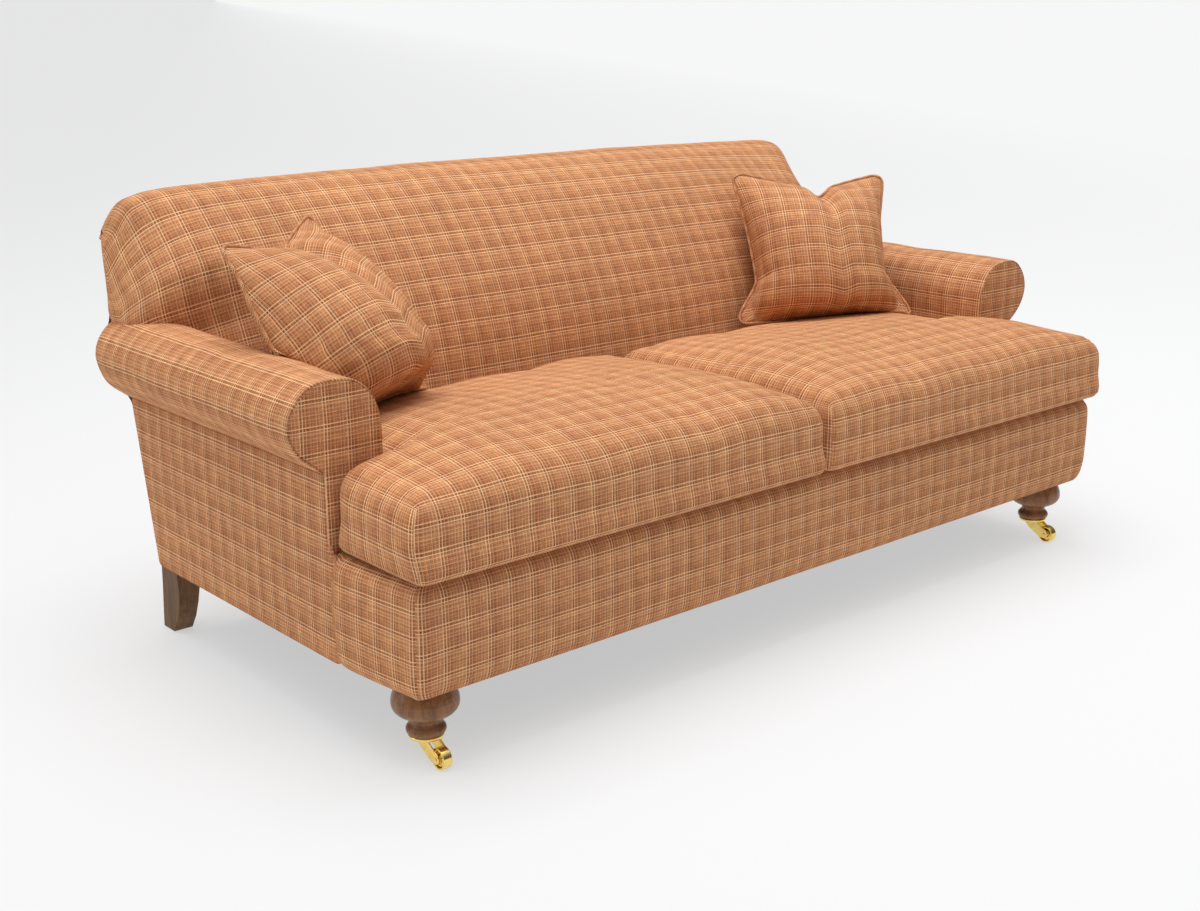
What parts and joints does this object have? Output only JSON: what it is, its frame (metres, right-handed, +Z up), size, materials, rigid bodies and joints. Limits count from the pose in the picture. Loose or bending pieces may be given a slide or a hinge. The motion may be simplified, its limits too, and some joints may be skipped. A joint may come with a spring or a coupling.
{
  "type": "english roll arm sofa",
  "caption": "Loose-cushion sofa with low set-back rolled arms, a padded raked back, T-shaped seat cushions, turned front legs on brass castors and raked rear legs.",
  "frame": {"origin": "middle of the footprint, on the floor", "axes": "+X along the sofa towards its left-hand end as sat in, +Y from the front to the back, +Z up"},
  "size_m": [2.1, 1.0852, 0.9175],
  "materials": {
    "check_cloth": "woven wool plaid in rust, olive brown and cream",
    "cushion_cloth": "woven wool plaid, soft filling",
    "scatter_cloth": "woven wool plaid with a self-piped edge",
    "frame_timber": "planed beech, unfinished",
    "dark_wood": "dark stain, satin polish",
    "brass": "polished",
    "steel": "zinc plated",
    "webbing": "jute webbing",
    "platform_cloth": "calico over wadding",
    "lining": "black lining cloth",
    "felt": "pressed felt on a steel pin"
  },
  "bodies": {
    "frame": {"front_rail": "frame_timber", "back_rail": "frame_timber", "centre_rail": "frame_timber", "back_top_rail": "frame_timber", "back_tuck_rail": "frame_timber", "side_rail_left": "frame_timber", "side_rail_right": "frame_timber", "front_corner_block_left": "frame_timber", "front_corner_block_right": "frame_timber", "rear_corner_block_left": "frame_timber", "rear_corner_block_right": "frame_timber", "back_post_left": "frame_timber", "back_post_right": "frame_timber", "arm_front_board_left": "frame_timber", "arm_front_board_right": "frame_timber", "arm_top_rail_left": "frame_timber", "arm_top_rail_right": "frame_timber", "arm_tuck_rail_left": "frame_timber", "arm_tuck_rail_right": "frame_timber", "seat_webbing": "webbing", "back_webbing": "webbing", "seat_platform": "platform_cloth", "front_border": "check_cloth", "back_pad": "check_cloth", "outside_back": "check_cloth", "arm_pad_left": "check_cloth", "arm_pad_right": "check_cloth", "arm_facing_left": "check_cloth", "arm_facing_right": "check_cloth", "outside_arm_left": "check_cloth", "outside_arm_right": "check_cloth", "dust_cover": "lining", "front_leg_left": "dark_wood", "front_leg_right": "dark_wood", "rear_leg_left": "dark_wood", "rear_leg_right": "dark_wood", "front_leg_bolt_left": "steel", "front_leg_bolt_right": "steel", "rear_leg_bolt_left": "steel", "rear_leg_bolt_right": "steel", "castor_pintle_left": "steel", "castor_pintle_right": "steel", "rear_glide_left": "felt", "rear_glide_right": "felt", "castor_plate_left": "brass", "castor_plate_right": "brass"},
    "left_castor": {"castor_fork_left": "brass", "castor_axle_left": "brass"},
    "left_castor_wheel": {"castor_wheel_left": "brass"},
    "left_seat_cushion": {"seat_cushion_left": "cushion_cloth"},
    "left_scatter_cushion": {"scatter_cushion_left": "scatter_cloth"},
    "right_castor": {"castor_fork_right": "brass", "castor_axle_right": "brass"},
    "right_castor_wheel": {"castor_wheel_right": "brass"},
    "right_seat_cushion": {"seat_cushion_right": "cushion_cloth"},
    "right_scatter_cushion": {"scatter_cushion_right": "scatter_cloth"}
  },
  "joints": [
    {"name": "left_castor_swivel", "type": "hinge", "parent": "frame", "child": "left_castor", "pos_m": [-0.905, -0.43965, 0.045], "axis": [0, 0, 1], "continuous": true},
    {"name": "left_wheel_spin", "type": "hinge", "parent": "left_castor", "child": "left_castor_wheel", "pos_m": [-0.905, -0.48365, 0.02], "axis": [1, 0, 0], "continuous": true},
    {"name": "left_seat_cushion_lift", "type": "slide", "parent": "frame", "child": "left_seat_cushion", "axis": [0, 0, 1], "range_m": [0, 0.25]},
    {"name": "left_scatter_cushion_lift", "type": "slide", "parent": "left_seat_cushion", "child": "left_scatter_cushion", "axis": [0, 0, 1], "range_m": [0, 0.3]},
    {"name": "right_castor_swivel", "type": "hinge", "parent": "frame", "child": "right_castor", "pos_m": [0.905, -0.43965, 0.045], "axis": [0, 0, 1], "continuous": true},
    {"name": "right_wheel_spin", "type": "hinge", "parent": "right_castor", "child": "right_castor_wheel", "pos_m": [0.905, -0.48365, 0.02], "axis": [1, 0, 0], "continuous": true},
    {"name": "right_seat_cushion_lift", "type": "slide", "parent": "frame", "child": "right_seat_cushion", "axis": [0, 0, 1], "range_m": [0, 0.25]},
    {"name": "right_scatter_cushion_lift", "type": "slide", "parent": "right_seat_cushion", "child": "right_scatter_cushion", "axis": [0, 0, 1], "range_m": [0, 0.3]}
  ]
}
